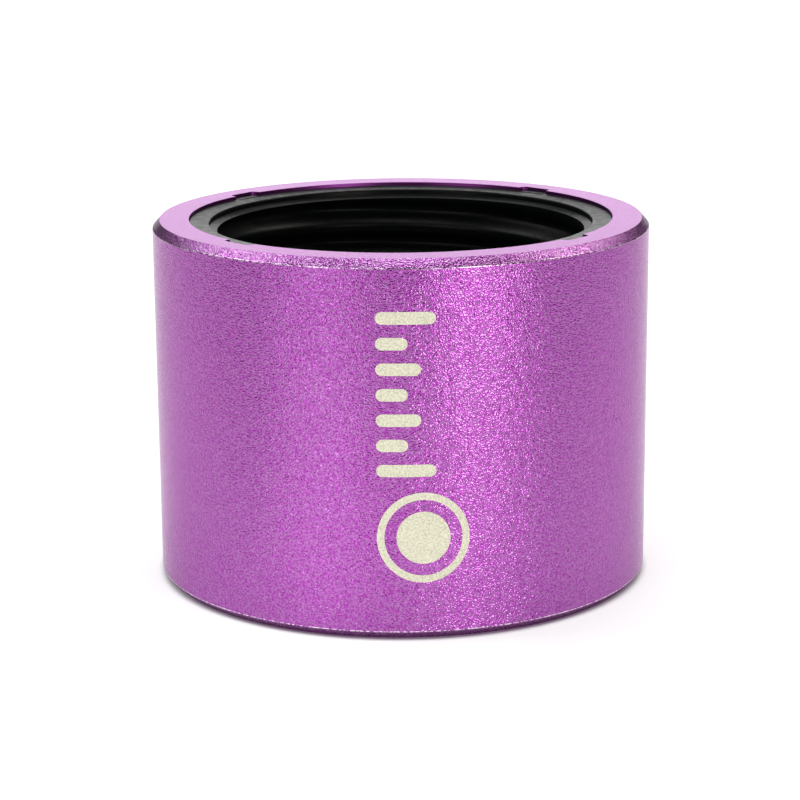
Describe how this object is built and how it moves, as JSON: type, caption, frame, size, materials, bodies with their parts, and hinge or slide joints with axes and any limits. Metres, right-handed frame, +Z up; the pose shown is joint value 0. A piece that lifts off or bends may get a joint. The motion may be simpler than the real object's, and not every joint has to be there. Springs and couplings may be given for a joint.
{
  "type": "threaded coupling sleeve",
  "caption": "Anodised aluminium sleeve with keyed plastic inserts threaded inside, which screws two glass-necked vessels together end to end against silicone seals.",
  "frame": {"origin": "centre of the lower rim, on the surface the sleeve stands on", "axes": "+Z up along the bore; -Y is the side with the mark; +X is to the right when looking at the mark"},
  "size_m": [0.057, 0.057, 0.0416],
  "materials": {
    "anodised_sleeve": "bead-blasted, purple anodised, with the rim face left smoother and paler",
    "insert_plastic": "black glass-filled moulding, satin",
    "seal_silicone": "dark matte silicone"
  },
  "bodies": {
    "root": {"outer_sleeve": "anodised_sleeve", "upper_threaded_insert": "insert_plastic", "lower_threaded_insert": "insert_plastic", "upper_seal_ring": "seal_silicone", "lower_seal_ring": "seal_silicone"}
  },
  "joints": []
}
